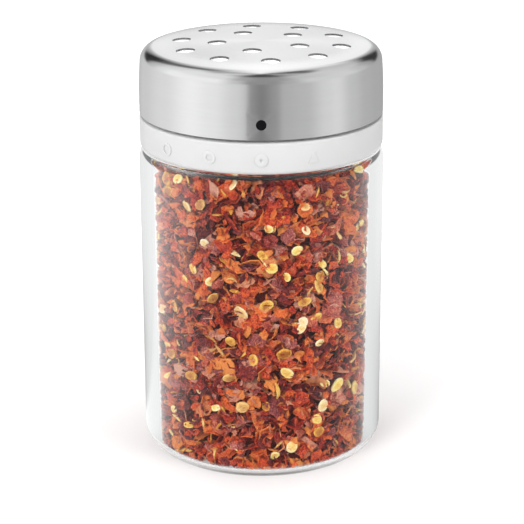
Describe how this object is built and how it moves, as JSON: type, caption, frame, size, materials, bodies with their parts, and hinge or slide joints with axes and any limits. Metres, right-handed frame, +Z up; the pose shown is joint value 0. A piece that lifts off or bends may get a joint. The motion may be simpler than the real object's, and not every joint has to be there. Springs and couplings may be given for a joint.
{
  "type": "spice shaker",
  "caption": "Round glass spice jar with a screw-on white collar and a dial-top perforated steel cap that opens, throttles and closes its pouring holes.",
  "frame": {"origin": "centre of the jar's base, on the plane it stands on", "axes": "+Z up along the jar's axis; -Y is the front, where the pointer dot faces at rest; +X is to the viewer's right"},
  "size_m": [0.0576, 0.0576, 0.099],
  "materials": {
    "clear_glass": "polished",
    "pepper_flakes": "matte",
    "silicone": "matte",
    "white_plastic": "satin",
    "brushed_cap": "satin",
    "black_plastic": "matte",
    "plain_steel": "satin"
  },
  "bodies": {
    "jar": {"glass_jar": "clear_glass", "spice_fill": "pepper_flakes"},
    "seal": {"jar_seal": "silicone"},
    "collar": {"screw_collar": "white_plastic", "sifter_plate": "white_plastic"},
    "dial": {"cap_shell": "brushed_cap", "cap_liner": "white_plastic", "pointer_dot": "black_plastic", "click_spring": "plain_steel", "pivot_washer": "plain_steel", "pivot_screw": "plain_steel"}
  },
  "joints": [
    {"name": "collar_lift", "type": "slide", "parent": "jar", "child": "seal", "axis": [0, 0, 1], "range_m": [0, 0.014]},
    {"name": "collar_unscrew", "type": "hinge", "parent": "seal", "child": "collar", "pos_m": [0, 0, 0.08], "axis": [0, 0, 1], "range_deg": [0, 1191]},
    {"name": "dial_turn", "type": "hinge", "parent": "collar", "child": "dial", "pos_m": [0, 0, 0.09], "axis": [0, 0, 1], "range_deg": [-48, 24]}
  ],
  "couplings": [
    {"joint": "collar_lift", "follows": "collar_unscrew", "m_per_rad": 0.00067323}
  ]
}
